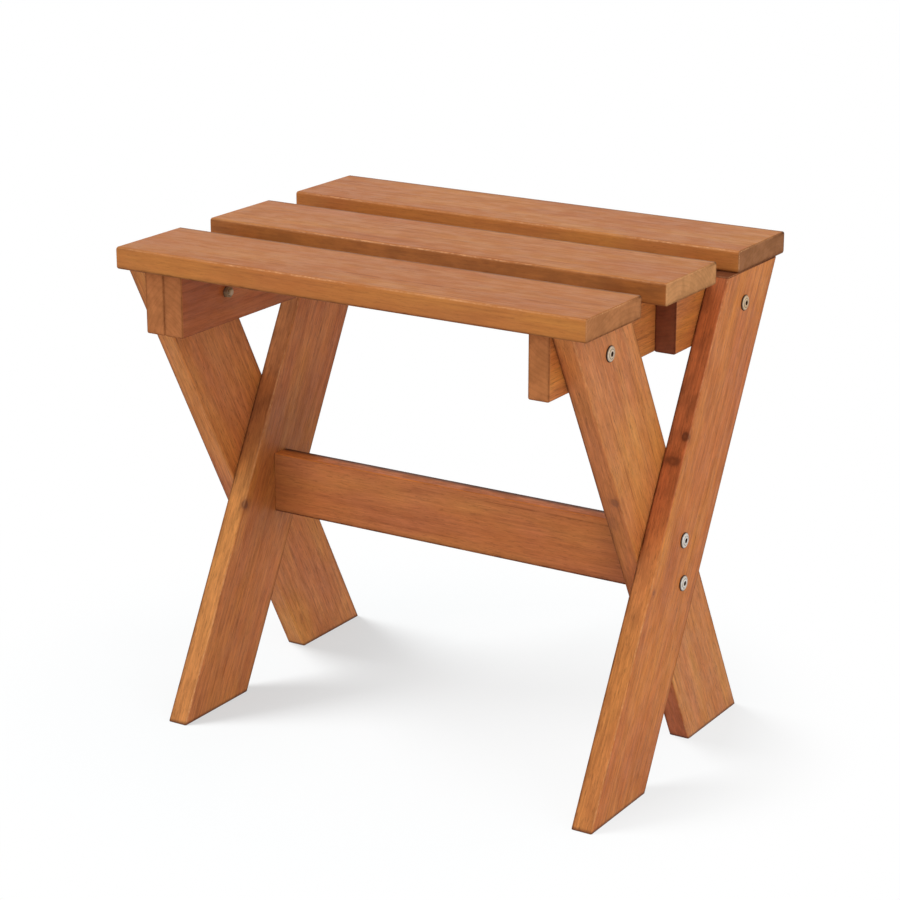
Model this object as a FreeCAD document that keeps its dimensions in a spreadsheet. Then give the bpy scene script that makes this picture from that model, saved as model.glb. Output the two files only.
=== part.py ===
import FreeCAD, Part
import os
import Sketcher

# A wooden flower stand: three planks on two crossed-leg end frames, tied by one stretcher.
# The origin is on the floor under the middle of the top, +X along the planks and +Y to the rear.
# Both end frames are the same; the left one is the right one turned half round the Z axis.

doc = FreeCAD.newDocument("flower_stand")

# Driving dimensions, in millimetres: name, value, meaning
SIZES = [
    ("stand_height", "500", "floor to the top faces of the planks"),
    ("plank_length", "517", "length of each top plank"),
    ("plank_width", "102.5", "width of each top plank"),
    ("plank_thickness", "22", "thickness of each top plank"),
    ("plank_gap", "47.5", "open gap between two planks"),
    ("plank_edge_radius", "3", "rounding of the planks' long edges"),
    ("plank_end_radius", "1.5", "rounding round the planks' ends"),
    ("leg_width", "94.5", "width of a leg, square to its length"),
    ("leg_thickness", "22", "thickness of a leg, and of the spacer in its layer"),
    ("leg_inset", "0.5", "plank end to the outer face of the outer leg"),
    ("foot_setback", "26.5", "front edge of the top to the outer corner of a foot"),
    ("bearer_height", "64", "height of a bearer and of its spacer"),
    ("bearer_thickness", "22", "thickness of a bearer"),
    ("bearer_setback", "15.5", "front edge of the top to the end of a bearer"),
    ("spacer_start", "14", "middle of the stand to the inner end of a spacer"),
    ("stretcher_height", "63.5", "height of the stretcher"),
    ("stretcher_thickness", "22", "thickness of the stretcher"),
    ("stretcher_drop", "13", "crossing of the legs down to the middle of the stretcher"),
    ("frame_edge_radius", "2", "rounding of the long edges below the top"),
    ("frame_end_radius", "0.8", "rounding round the ends below the top"),
    ("bolt_diameter", "6", "shank of every bolt"),
    ("bolt_clearance", "0.6", "bolt hole in wood, over the bolt"),
    ("bolt_head_diameter", "15.5", "flat domed head of a bolt"),
    ("bolt_head_height", "2.8", "seat to the crown of a bolt head"),
    ("bolt_head_rim", "1.3", "straight rim of a bolt head"),
    ("bolt_tip_chamfer", "0.7", "chamfer at the end of a bolt"),
    ("socket_width", "4", "hexagon socket in a bolt head, across flats"),
    ("socket_depth", "2.4", "crown of a bolt head to the bottom of its socket"),
    ("nut_width", "10", "nut on a leg bolt, across flats"),
    ("nut_height", "5", "height of a nut"),
    ("nut_chamfer_angle", "30", "slope of the chamfer on the free face of a nut, in degrees"),
    ("thread_clearance", "0.1", "bore of a nut or barrel nut, over the bolt"),
    ("bolt_past_nut", "2", "leg bolt's end past its nut"),
    ("crossing_bolt_edge", "10", "stretcher's edge to the axis of a crossing bolt"),
    ("barrel_nut_diameter", "10", "barrel nut in the stretcher"),
    ("barrel_nut_length", "14", "length of a barrel nut"),
    ("barrel_nut_clearance", "0.3", "cross hole in the stretcher, over the barrel nut"),
    ("barrel_nut_depth", "30", "stretcher's end to the axis of a barrel nut"),
    ("barrel_slot_width", "1.4", "screwdriver slot in a barrel nut"),
    ("barrel_slot_depth", "1.6", "depth of that slot"),
    ("bolt_past_barrel", "3", "crossing bolt's end past its barrel nut"),
    ("bolt_end_room", "2", "bottom of the stretcher's bolt hole past the bolt"),
    ("screw_diameter", "4.5", "shank of a plank screw"),
    ("screw_clearance", "0.5", "screw hole in a bearer, over the screw"),
    ("pilot_clearance", "0.1", "screw hole in a plank, over the screw"),
    ("screw_head_diameter", "9", "pan head of a plank screw"),
    ("screw_head_height", "3", "height of that head"),
    ("screw_head_chamfer", "1", "chamfer round that head"),
    ("screw_tip_length", "4", "pointed tip of a plank screw"),
    ("screw_seat", "24", "plank's underside down to the screw head's seat"),
    ("screw_bite", "14", "length of a screw inside its plank"),
    ("screw_end_room", "1.5", "bottom of the pilot hole past the screw's tip"),
    ("screw_spacing", "36", "between the two screws of a plank on one bearer"),
    ("counterbore_clearance", "1.5", "counterbore in a bearer, over the screw head"),
    ("recess_width", "1.2", "one arm of the cross recess in a screw head"),
    ("recess_span", "5", "cross recess from end to end"),
    ("recess_depth", "1.8", "depth of the cross recess"),
]

# Places that follow from the driving dimensions: name, formula
PLACES = [
    ("plank_pitch", "=plank_width + plank_gap"),
    ("top_half_depth", "=plank_pitch + plank_width / 2"),
    ("frame_top", "=stand_height - plank_thickness"),
    ("bearer_end", "=top_half_depth - bearer_setback"),
    ("foot_end", "=top_half_depth - foot_setback"),
    ("leg_spread", "=bearer_end + foot_end"),
    ("leg_reach", "=sqrt(leg_spread ^ 2 + frame_top ^ 2)"),
    ("leg_tilt", "=acos(leg_width / leg_reach) - atan2(frame_top; leg_spread)"),
    ("leg_cut_width", "=leg_width / cos(leg_tilt)"),
    ("crossing_height", "=(foot_end - leg_cut_width / 2) / tan(leg_tilt)"),
    ("leg_bolt_drop", "=bearer_height / 2"),
    ("leg_bolt_height", "=frame_top - leg_bolt_drop"),
    ("leg_bolt_offset", "=(leg_bolt_height - crossing_height) * tan(leg_tilt)"),
    ("outer_face", "=plank_length / 2 - leg_inset"),
    ("leg_seam", "=outer_face - leg_thickness"),
    ("bearer_face", "=leg_seam - leg_thickness"),
    ("bearer_back", "=bearer_face - bearer_thickness"),
    ("stretcher_level", "=crossing_height - stretcher_drop"),
    ("crossing_bolt_reach", "=stretcher_height / 2 - crossing_bolt_edge"),
    ("bolt_hole", "=bolt_diameter + bolt_clearance"),
    ("nut_bore", "=bolt_diameter + thread_clearance"),
    ("outer_bolt_length", "=2 * leg_thickness + bearer_thickness + nut_height + bolt_past_nut"),
    ("inner_bolt_length", "=leg_thickness + bearer_thickness + nut_height + bolt_past_nut"),
    ("crossing_bolt_bite", "=barrel_nut_depth + barrel_nut_diameter / 2 + bolt_past_barrel"),
    ("crossing_bolt_length", "=2 * leg_thickness + crossing_bolt_bite"),
    ("screw_line", "=bearer_back + bearer_thickness / 2"),
    ("screw_length", "=screw_seat + screw_bite"),
]

sheet = doc.addObject("Spreadsheet::Sheet", "Sizes")
followers = [(name, formula, "follows from the sizes above") for name, formula in PLACES]
for row, (name, text, meaning) in enumerate(SIZES + followers, start=1):
    sheet.set(f"A{row}", name)
    sheet.set(f"B{row}", text)
    sheet.set(f"C{row}", meaning)
    sheet.setAlias(f"B{row}", name)
doc.recompute()

ORIGIN_POINT = (-1, 1)
STRAIGHT = 1e-6


def value_of(expression):
    """The present value of an expression on the sheet, in millimetres."""
    return float(sheet.evalExpression(expression))


# Sketching: every point and diameter is bound to the sheet

def sketch_on(body, role, name, lift=None):
    """A sketch on one of the body's origin planes, lifted along the plane's normal."""
    sketch = body.newObject("Sketcher::SketchObject", name)
    plane = next(f for f in body.Origin.OriginFeatures if f.Role == role)
    sketch.AttachmentSupport = [(plane, "")]
    sketch.MapMode = "FlatFace"
    if lift:
        sketch.setExpression("AttachmentOffset.Base.z", lift)
    return sketch


def bind_point(sketch, line, end, x, y):
    """Hold one end of a line, or a centre, at the sheet's x and y."""
    for kind, expression in (("DistanceX", x), ("DistanceY", y)):
        distance = value_of(expression)
        ends = (*ORIGIN_POINT, line, end)
        bound = expression
        if distance < 0:
            ends = (line, end, *ORIGIN_POINT)
            bound = f"-({expression})"
        index = sketch.addConstraint(Sketcher.Constraint(kind, *ends, abs(distance)))
        sketch.setExpression(f"Constraints[{index}]", bound)


def dome_arc(crown, rim):
    """The arc from the crown, on the level axis, to the rim, about a centre on that axis."""
    reach = crown.x - rim.x
    radius = (rim.y ** 2 + reach ** 2) / (2 * reach)
    centre = FreeCAD.Vector(crown.x - radius, 0, 0)
    circle = Part.Circle(centre, FreeCAD.Vector(0, 0, 1), radius)
    return Part.ArcOfCircle(circle, 0, circle.parameter(rim))


def draw_outline(sketch, corners, domed=False):
    """A closed outline through bound corners; a domed one starts with an arc."""
    points = [FreeCAD.Vector(value_of(x), value_of(y), 0) for x, y in corners]
    first = sketch.GeometryCount
    count = len(points)
    for i in range(count):
        edge = Part.LineSegment(points[i], points[(i + 1) % count])
        if domed and i == 0:
            edge = dome_arc(points[0], points[1])
        sketch.addGeometry(edge)
    if domed:
        sketch.addConstraint(Sketcher.Constraint("DistanceY", *ORIGIN_POINT, first, 3, 0))
    for i in range(count):
        ends = (first + i, 2, first + (i + 1) % count, 1)
        sketch.addConstraint(Sketcher.Constraint("Coincident", *ends))
    for i, (x, y) in enumerate(corners):
        bind_point(sketch, first + i, 1, x, y)


def draw_rectangle(sketch, left, bottom, right, top):
    draw_outline(sketch, [(left, bottom), (right, bottom), (right, top), (left, top)])


def draw_hexagon(sketch, across_flats):
    """A hexagon about the sketch's origin, two of its flats level."""
    corner = f"{across_flats} / sqrt(3)"
    corners = []
    for step in range(6):
        corners.append((f"{corner} * cos({60 * step} deg)", f"{corner} * sin({60 * step} deg)"))
    draw_outline(sketch, corners)


def draw_circle(sketch, x, y, diameter):
    centre = FreeCAD.Vector(value_of(x), value_of(y), 0)
    radius = value_of(diameter) / 2
    circle = sketch.addGeometry(Part.Circle(centre, FreeCAD.Vector(0, 0, 1), radius))
    bind_point(sketch, circle, 3, x, y)
    index = sketch.addConstraint(Sketcher.Constraint("Diameter", circle, 2 * radius))
    sketch.setExpression(f"Constraints[{index}]", diameter)


# Features of a body

def new_body(label):
    body = doc.addObject("PartDesign::Body", label)
    body.Label = label
    return body


def pad(body, sketch, length, both_ways=False):
    feature = body.newObject("PartDesign::Pad", "Pad")
    feature.Profile = sketch
    feature.SideType = "Symmetric" if both_ways else "One side"
    feature.setExpression("Length", length)
    return feature


def drill(body, sketch, depth=None, along_normal=False, both_ways=False):
    """Cut the sketch into the body, right through where no depth is given."""
    feature = body.newObject("PartDesign::Pocket", "Pocket")
    feature.Profile = sketch
    feature.Reversed = along_normal
    feature.SideType = "Symmetric" if both_ways else "One side"
    if depth:
        feature.Type = "Length"
        feature.setExpression("Length", depth)
    else:
        feature.Type = "ThroughAll"
    return feature


def turn(body, sketch, axis, kind="PartDesign::Revolution"):
    """Turn the sketch once round one of its own axes."""
    feature = body.newObject(kind, "Turned")
    feature.Profile = sketch
    feature.ReferenceAxis = (sketch, [axis])
    feature.Angle = 360
    return feature


def round_edges(body, base, edge_names, radius):
    feature = body.newObject("PartDesign::Fillet", "Rounding")
    feature.Base = (base, edge_names)
    feature.setExpression("Radius", radius)
    doc.recompute()
    return feature


def round_board(body, base, grain, long_radius, end_radius):
    """Round a board's four long edges, then the loop of edges round each end."""
    doc.recompute()
    long_edges = []
    for number, edge in enumerate(base.Shape.Edges, start=1):
        if abs(edge.tangentAt(edge.FirstParameter).dot(grain)) > 1 - STRAIGHT:
            long_edges.append(f"Edge{number}")
    rounded = round_edges(body, base, long_edges, long_radius)
    end_edges = []
    for number, edge in enumerate(rounded.Shape.Edges, start=1):
        if abs(edge.tangentAt(edge.FirstParameter).dot(grain)) < 1 - STRAIGHT:
            end_edges.append(f"Edge{number}")
    return round_edges(body, rounded, end_edges, end_radius)


def repeat(body, features, role, spacing):
    """A second copy of the features, at the spacing along one of the body's axes."""
    pattern = body.newObject("PartDesign::LinearPattern", "Pair")
    pattern.Originals = features
    axis = next(f for f in body.Origin.OriginFeatures if f.Role == role)
    pattern.Direction = (axis, [""])
    pattern.Occurrences = 2
    pattern.setExpression("Length", spacing)
    body.Tip = pattern
    return pattern


def place(body, x, y, z, turned):
    """Bind the body's place; a turned body faces the other end of the stand."""
    half_turn = FreeCAD.Rotation(FreeCAD.Vector(0, 0, 1), 180 if turned else 0)
    body.Placement = FreeCAD.Placement(FreeCAD.Vector(), half_turn)
    for axis, expression in zip("xyz", (x, y, z)):
        body.setExpression(f".Placement.Base.{axis}", expression)


ALONG_X = FreeCAD.Vector(1, 0, 0)
ALONG_Y = FreeCAD.Vector(0, 1, 0)
SIDES = ("-1", "1")


# Top planks: rounded boards with blind pilot holes in the underside

def make_plank(label, row):
    body = new_body(label)
    outline = sketch_on(body, "XY_Plane", "Outline")
    draw_rectangle(outline, "-Sizes.plank_length / 2", "-Sizes.plank_width / 2",
                   "Sizes.plank_length / 2", "Sizes.plank_width / 2")
    board = pad(body, outline, "Sizes.plank_thickness")
    round_board(body, board, ALONG_X, "Sizes.plank_edge_radius", "Sizes.plank_end_radius")
    pilots = sketch_on(body, "XY_Plane", "Pilots")
    for end in SIDES:
        for side in SIDES:
            draw_circle(pilots, f"{end} * Sizes.screw_line", f"{side} * Sizes.screw_spacing / 2",
                        "Sizes.screw_diameter + Sizes.pilot_clearance")
    drill(body, pilots, "Sizes.screw_bite + Sizes.screw_end_room", along_normal=True)
    place(body, "0", f"{row} * Sizes.plank_pitch", "Sizes.frame_top", turned=False)
    return body


# Bearers: boards on edge across the underside, each with two bolt holes
# and six screw holes that are counterbored from below

def make_bearer(label, x, turned):
    body = new_body(label)
    outline = sketch_on(body, "YZ_Plane", "Outline")
    draw_rectangle(outline, "-Sizes.bearer_end", "-Sizes.bearer_height", "Sizes.bearer_end", "0")
    board = pad(body, outline, "Sizes.bearer_thickness")
    round_board(body, board, ALONG_Y, "Sizes.frame_edge_radius", "Sizes.frame_end_radius")
    bolt_holes = sketch_on(body, "YZ_Plane", "BoltHoles")
    for side in SIDES:
        draw_circle(bolt_holes, f"{side} * Sizes.leg_bolt_offset", "-Sizes.leg_bolt_drop", "Sizes.bolt_hole")
    drill(body, bolt_holes, along_normal=True)
    screw_holes = sketch_on(body, "XY_Plane", "ScrewHoles")
    counterbores = sketch_on(body, "XY_Plane", "Counterbores", lift="-Sizes.screw_seat")
    for row in ROWS.values():
        for side in SIDES:
            x_and_y = ("Sizes.bearer_thickness / 2",
                       f"{row} * Sizes.plank_pitch + {side} * Sizes.screw_spacing / 2")
            draw_circle(screw_holes, *x_and_y, "Sizes.screw_diameter + Sizes.screw_clearance")
            draw_circle(counterbores, *x_and_y, "Sizes.screw_head_diameter + Sizes.counterbore_clearance")
    drill(body, screw_holes)
    drill(body, counterbores)
    place(body, x, "0", "Sizes.frame_top", turned)
    return body


# Spacers: short boards beside the bearer, in the layer of the inner leg

def make_spacer(label, x, turned):
    body = new_body(label)
    outline = sketch_on(body, "YZ_Plane", "Outline")
    draw_rectangle(outline, "Sizes.spacer_start", "-Sizes.bearer_height", "Sizes.bearer_end", "0")
    board = pad(body, outline, "Sizes.leg_thickness")
    round_board(body, board, ALONG_Y, "Sizes.frame_edge_radius", "Sizes.frame_end_radius")
    bolt_hole = sketch_on(body, "YZ_Plane", "BoltHole")
    draw_circle(bolt_hole, "Sizes.leg_bolt_offset", "-Sizes.leg_bolt_drop", "Sizes.bolt_hole")
    drill(body, bolt_hole, along_normal=True)
    place(body, x, "0", "Sizes.frame_top", turned)
    return body


# Legs: four alike, sawn level at head and foot, with one bolt hole at the head and two at the crossing

def make_leg(label, x, turned):
    body = new_body(label)
    outline = sketch_on(body, "YZ_Plane", "Outline")
    draw_outline(outline, [
        ("-Sizes.foot_end", "0"),
        ("-Sizes.foot_end + Sizes.leg_cut_width", "0"),
        ("Sizes.bearer_end", "Sizes.frame_top"),
        ("Sizes.bearer_end - Sizes.leg_cut_width", "Sizes.frame_top"),
    ])
    board = pad(body, outline, "Sizes.leg_thickness")
    rise = FreeCAD.Rotation(ALONG_X, -value_of("Sizes.leg_tilt")).multVec(FreeCAD.Vector(0, 0, 1))
    round_board(body, board, rise, "Sizes.frame_edge_radius", "Sizes.frame_end_radius")
    bolt_holes = sketch_on(body, "YZ_Plane", "BoltHoles")
    draw_circle(bolt_holes, "Sizes.leg_bolt_offset", "Sizes.leg_bolt_height", "Sizes.bolt_hole")
    for side in SIDES:
        draw_circle(bolt_holes, "0", f"Sizes.stretcher_level + {side} * Sizes.crossing_bolt_reach",
                    "Sizes.bolt_hole")
    drill(body, bolt_holes, along_normal=True)
    place(body, x, "0", "0", turned)
    return body


# Stretcher: a board on edge between the crossings, with two bolt holes in each end
# and blind cross holes for the barrel nuts in its rear face

def make_stretcher(label):
    body = new_body(label)
    outline = sketch_on(body, "YZ_Plane", "Outline")
    draw_rectangle(outline, "-Sizes.stretcher_thickness / 2", "-Sizes.stretcher_height / 2",
                   "Sizes.stretcher_thickness / 2", "Sizes.stretcher_height / 2")
    board = pad(body, outline, "2 * Sizes.bearer_face", both_ways=True)
    round_board(body, board, ALONG_X, "Sizes.frame_edge_radius", "Sizes.frame_end_radius")
    bolt_holes = sketch_on(body, "YZ_Plane", "BoltHoles", lift="Sizes.bearer_face")
    nut_holes = sketch_on(body, "XZ_Plane", "NutHoles", lift="Sizes.barrel_nut_length / 2")
    for side in SIDES:
        level = f"{side} * Sizes.crossing_bolt_reach"
        draw_circle(bolt_holes, "0", level, "Sizes.bolt_hole")
        draw_circle(nut_holes, "Sizes.bearer_face - Sizes.barrel_nut_depth", level,
                    "Sizes.barrel_nut_diameter + Sizes.barrel_nut_clearance")
    bolt_pocket = drill(body, bolt_holes, "Sizes.crossing_bolt_bite + Sizes.bolt_end_room")
    nut_pocket = drill(body, nut_holes)
    mirrored = body.newObject("PartDesign::Mirrored", "OtherEnd")
    mirrored.Originals = [bolt_pocket, nut_pocket]
    middle = next(f for f in body.Origin.OriginFeatures if f.Role == "YZ_Plane")
    mirrored.MirrorPlane = (middle, [""])
    body.Tip = mirrored
    place(body, "0", "0", "Sizes.stretcher_level", turned=False)
    return body


# Bolts: a low domed head with a hexagon socket on a plain shank, the head's seat at the body's origin

def make_bolt(label, length, x, y, z, turned, spacing=None):
    body = new_body(label)
    profile = sketch_on(body, "XY_Plane", "Profile")
    head_radius = "Sizes.bolt_head_diameter / 2"
    shank_radius = "Sizes.bolt_diameter / 2"
    draw_outline(profile, [
        ("Sizes.bolt_head_height", "0"),
        ("Sizes.bolt_head_rim", head_radius),
        ("0", head_radius),
        ("0", shank_radius),
        (f"-{length} + Sizes.bolt_tip_chamfer", shank_radius),
        (f"-{length}", f"{shank_radius} - Sizes.bolt_tip_chamfer"),
        (f"-{length}", "0"),
    ], domed=True)
    turned_bolt = turn(body, profile, "H_Axis")
    socket = sketch_on(body, "YZ_Plane", "Socket", lift="Sizes.bolt_head_height - Sizes.socket_depth")
    draw_hexagon(socket, "Sizes.socket_width")
    hexagon = drill(body, socket, along_normal=True)
    if spacing:
        repeat(body, [turned_bolt, hexagon], "Z_Axis", spacing)
    place(body, x, y, z, turned)
    return body


# Leg nuts: two hexagon nuts on the inner face of a bearer, chamfered on their free face

def make_leg_nuts(label, x, y, turned):
    body = new_body(label)
    outline = sketch_on(body, "YZ_Plane", "Outline", lift="-Sizes.nut_height")
    draw_hexagon(outline, "Sizes.nut_width")
    prism = pad(body, outline, "Sizes.nut_height")
    slope = "tan(Sizes.nut_chamfer_angle * 1 deg)"
    chamfer = sketch_on(body, "XY_Plane", "Chamfer")
    draw_outline(chamfer, [
        ("-Sizes.nut_height", "Sizes.nut_width / 2"),
        ("-Sizes.nut_height", "Sizes.nut_width"),
        (f"-Sizes.nut_height + Sizes.nut_width / 2 * {slope}", "Sizes.nut_width"),
    ])
    chamfer_cut = turn(body, chamfer, "H_Axis", "PartDesign::Groove")
    bore = sketch_on(body, "YZ_Plane", "Bore")
    draw_circle(bore, "0", "0", "Sizes.nut_bore")
    bore_cut = drill(body, bore)
    repeat(body, [prism, chamfer_cut, bore_cut], "Y_Axis", "2 * Sizes.leg_bolt_offset")
    place(body, x, y, "Sizes.leg_bolt_height", turned)
    return body


# Barrel nuts: two slotted cylinders across the stretcher, each drilled for its crossing bolt

def make_barrel_nuts(label, x, turned):
    body = new_body(label)
    outline = sketch_on(body, "XZ_Plane", "Outline")
    draw_circle(outline, "0", "0", "Sizes.barrel_nut_diameter")
    cylinder = pad(body, outline, "Sizes.barrel_nut_length", both_ways=True)
    bore = sketch_on(body, "YZ_Plane", "Bore")
    draw_circle(bore, "0", "0", "Sizes.nut_bore")
    bore_cut = drill(body, bore, both_ways=True)
    rear = "-1" if turned else "1"
    slot = sketch_on(body, "XZ_Plane", "Slot", lift=f"-{rear} * Sizes.barrel_nut_length / 2")
    draw_rectangle(slot, "-Sizes.barrel_nut_diameter", "-Sizes.barrel_slot_width / 2",
                   "Sizes.barrel_nut_diameter", "Sizes.barrel_slot_width / 2")
    slot_cut = drill(body, slot, "Sizes.barrel_slot_depth", along_normal=not turned)
    repeat(body, [cylinder, bore_cut, slot_cut], "Z_Axis", "2 * Sizes.crossing_bolt_reach")
    place(body, x, "0", "Sizes.stretcher_level - Sizes.crossing_bolt_reach", turned)
    return body


# Plank screws: two pan-head screws driven up through a bearer into a plank

def make_plank_screws(label, row, x):
    body = new_body(label)
    head_radius = "Sizes.screw_head_diameter / 2"
    shank_radius = "Sizes.screw_diameter / 2"
    profile = sketch_on(body, "XZ_Plane", "Profile")
    draw_outline(profile, [
        ("0", "-Sizes.screw_head_height"),
        (f"{head_radius} - Sizes.screw_head_chamfer", "-Sizes.screw_head_height"),
        (head_radius, "-Sizes.screw_head_height + Sizes.screw_head_chamfer"),
        (head_radius, "0"),
        (shank_radius, "0"),
        (shank_radius, "Sizes.screw_length - Sizes.screw_tip_length"),
        ("0", "Sizes.screw_length"),
    ])
    turned_screw = turn(body, profile, "V_Axis")
    recess = sketch_on(body, "XY_Plane", "Recess", lift="-Sizes.screw_head_height")
    arm = "Sizes.recess_width / 2"
    tip = "Sizes.recess_span / 2"
    draw_outline(recess, [
        (tip, f"-{arm}"), (tip, arm), (arm, arm), (arm, tip),
        (f"-{arm}", tip), (f"-{arm}", arm), (f"-{tip}", arm), (f"-{tip}", f"-{arm}"),
        (f"-{arm}", f"-{arm}"), (f"-{arm}", f"-{tip}"), (arm, f"-{tip}"), (arm, f"-{arm}"),
    ])
    recess_cut = drill(body, recess, "Sizes.recess_depth", along_normal=True)
    repeat(body, [turned_screw, recess_cut], "Y_Axis", "Sizes.screw_spacing")
    place(body, x, f"{row} * Sizes.plank_pitch - Sizes.screw_spacing / 2",
          "Sizes.frame_top - Sizes.screw_seat", turned=False)
    return body


# The assembly: the top, then each end frame from its bearer outwards, then the stretcher

ROWS = {"front": "-1", "middle": "0", "rear": "1"}
ENDS = {"right": ("1", False), "left": ("-1", True)}

pieces = []
for row_name, row in ROWS.items():
    pieces.append(make_plank(f"{row_name}_plank", row))
for end_name, (end, turned) in ENDS.items():
    pieces.append(make_bearer(f"{end_name}_bearer", f"{end} * Sizes.bearer_back", turned))
    pieces.append(make_spacer(f"{end_name}_spacer", f"{end} * Sizes.bearer_face", turned))
    pieces.append(make_leg(f"{end_name}_inner_leg", f"{end} * Sizes.leg_seam", not turned))
    pieces.append(make_leg(f"{end_name}_outer_leg", f"{end} * Sizes.leg_seam", turned))
    pieces.append(make_bolt(
        f"{end_name}_outer_leg_bolt", "Sizes.outer_bolt_length", f"{end} * Sizes.outer_face",
        f"{end} * Sizes.leg_bolt_offset", "Sizes.leg_bolt_height", turned))
    pieces.append(make_bolt(
        f"{end_name}_inner_leg_bolt", "Sizes.inner_bolt_length", f"{end} * Sizes.leg_seam",
        f"-{end} * Sizes.leg_bolt_offset", "Sizes.leg_bolt_height", turned))
    pieces.append(make_leg_nuts(
        f"{end_name}_leg_nuts", f"{end} * Sizes.bearer_back", f"-{end} * Sizes.leg_bolt_offset", turned))
    pieces.append(make_bolt(
        f"{end_name}_crossing_bolts", "Sizes.crossing_bolt_length", f"{end} * Sizes.outer_face", "0",
        "Sizes.stretcher_level - Sizes.crossing_bolt_reach", turned, "2 * Sizes.crossing_bolt_reach"))
    pieces.append(make_barrel_nuts(
        f"{end_name}_barrel_nuts", f"{end} * (Sizes.bearer_face - Sizes.barrel_nut_depth)", turned))
    for row_name, row in ROWS.items():
        pieces.append(make_plank_screws(
            f"{end_name}_{row_name}_plank_screws", row, f"{end} * Sizes.screw_line"))
pieces.append(make_stretcher("stretcher"))
doc.recompute()


# Every object computed, every shape sound and every cut really removing wood or metal

CUTS = ("PartDesign::Pocket", "PartDesign::Groove")
for obj in doc.Objects:
    if "Invalid" in obj.State or "Error" in obj.State:
        raise RuntimeError(f"{obj.Name} failed: {obj.State}")
    if obj.TypeId in CUTS and obj.Shape.Volume >= obj.BaseFeature.Shape.Volume - STRAIGHT:
        raise RuntimeError(f"{obj.Name} removes nothing")
for piece in pieces:
    if piece.Shape.isNull() or not piece.Shape.isValid():
        raise RuntimeError(f"{piece.Label} has no sound shape")

os.makedirs("parts", exist_ok=True)
for piece in pieces:
    piece.Shape.exportStep(f"parts/{piece.Label}.step")
    solids = len(piece.Shape.Solids)
    print(f"{piece.Label}: {solids} solids, {piece.Shape.Volume:.0f} mm3, {piece.Shape.BoundBox}")
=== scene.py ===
from math import cos, pi, radians, sin, sqrt

import bpy
from mathutils import Euler, Matrix, Vector


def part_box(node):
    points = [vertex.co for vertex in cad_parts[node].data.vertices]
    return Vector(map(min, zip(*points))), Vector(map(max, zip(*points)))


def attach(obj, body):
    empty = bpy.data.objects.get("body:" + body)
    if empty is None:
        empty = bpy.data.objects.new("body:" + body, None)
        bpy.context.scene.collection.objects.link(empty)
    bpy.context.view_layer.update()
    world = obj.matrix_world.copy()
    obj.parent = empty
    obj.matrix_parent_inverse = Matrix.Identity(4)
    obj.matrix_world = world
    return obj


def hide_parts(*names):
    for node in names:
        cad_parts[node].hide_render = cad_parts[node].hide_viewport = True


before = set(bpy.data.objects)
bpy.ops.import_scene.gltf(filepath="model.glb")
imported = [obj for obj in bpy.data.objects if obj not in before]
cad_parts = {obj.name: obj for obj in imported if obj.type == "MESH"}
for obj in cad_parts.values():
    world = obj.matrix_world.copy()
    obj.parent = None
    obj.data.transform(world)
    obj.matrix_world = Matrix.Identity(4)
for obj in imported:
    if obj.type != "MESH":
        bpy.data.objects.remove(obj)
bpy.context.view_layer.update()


# Bearers: two planed softwood boards on edge under the planks, one at each end of the stand.
# They are brushed with a honey stain, which sinks unevenly into the wood. Their far arrises are darker,
# partly gathered stain and partly painted shade, and their lit arrises are paler, partly wear and partly a
# painted highlight.

def colour(red, green, blue):
    """A colour as a screen shows it, 0 to 255, in the linear values that a shader takes."""
    shown = [channel / 255 for channel in (red, green, blue)]
    return (*[c / 12.92 if c <= 0.04045 else ((c + 0.055) / 1.055) ** 2.4 for c in shown], 1.0)


def feed(tree, socket, value):
    """Give a socket a value of its own, or a link from another socket."""
    if isinstance(value, bpy.types.NodeSocket):
        tree.links.new(value, socket)
    else:
        socket.default_value = value


def feed_all(tree, node, **sockets):
    """Give several sockets of a node their values, named with _ for a blank."""
    for name, value in sockets.items():
        feed(tree, node.inputs[name.replace("_", " ")], value)


def put(tree, kind, settings=None, **sockets):
    """A node with its settings and its sockets; gives its first output."""
    made = tree.nodes.new("ShaderNode" + kind)
    for name, value in (settings or {}).items():
        setattr(made, name, value)
    feed_all(tree, made, **sockets)
    return made.outputs[0]


def reckon(tree, operation, *values):
    """A number worked out from others."""
    made = tree.nodes.new("ShaderNodeMath")
    made.operation = operation
    for socket, value in zip(made.inputs, values):
        feed(tree, socket, value)
    return made.outputs[0]


def times(tree, first, second):
    """One number times another."""
    return reckon(tree, "MULTIPLY", first, second)


def reckon_vector(tree, operation, *values, output="Vector"):
    """A vector, or its length, worked out from others."""
    made = tree.nodes.new("ShaderNodeVectorMath")
    made.operation = operation
    for socket, value in zip(made.inputs, values):
        feed(tree, socket, value)
    return made.outputs[output]


def scaled(tree, vector, amount):
    """A vector made longer or shorter by one amount."""
    made = tree.nodes.new("ShaderNodeVectorMath")
    made.operation = "SCALE"
    feed_all(tree, made, Vector=vector, Scale=amount)
    return made.outputs["Vector"]


def axes_of(tree, vector):
    """The three numbers of a vector, under X, Y and Z."""
    made = tree.nodes.new("ShaderNodeSeparateXYZ")
    feed(tree, made.inputs["Vector"], vector)
    return made.outputs


def fade(tree, value, start, end, first=0.0, last=1.0):
    """Goes softly from first to last while the value goes from start to end."""
    made = tree.nodes.new("ShaderNodeMapRange")
    made.interpolation_type = "SMOOTHSTEP"
    feed_all(tree, made, Value=value, From_Min=start, From_Max=end, To_Min=first, To_Max=last)
    return made.outputs["Result"]


def tint(tree, amount, under, over, way="MIX"):
    """One colour laid over another, by an amount."""
    made = tree.nodes.new("ShaderNodeMix")
    made.data_type = "RGBA"
    made.blend_type = way
    feed(tree, made.inputs["Factor"], amount)
    feed(tree, made.inputs[6], under)
    feed(tree, made.inputs[7], over)
    return made.outputs[2]


def brighten(tree, shade, gain):
    """A colour made lighter or darker by one gain."""
    return tint(tree, 1.0, shade, put(tree, "CombineColor", Red=gain, Green=gain, Blue=gain), "MULTIPLY")


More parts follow.
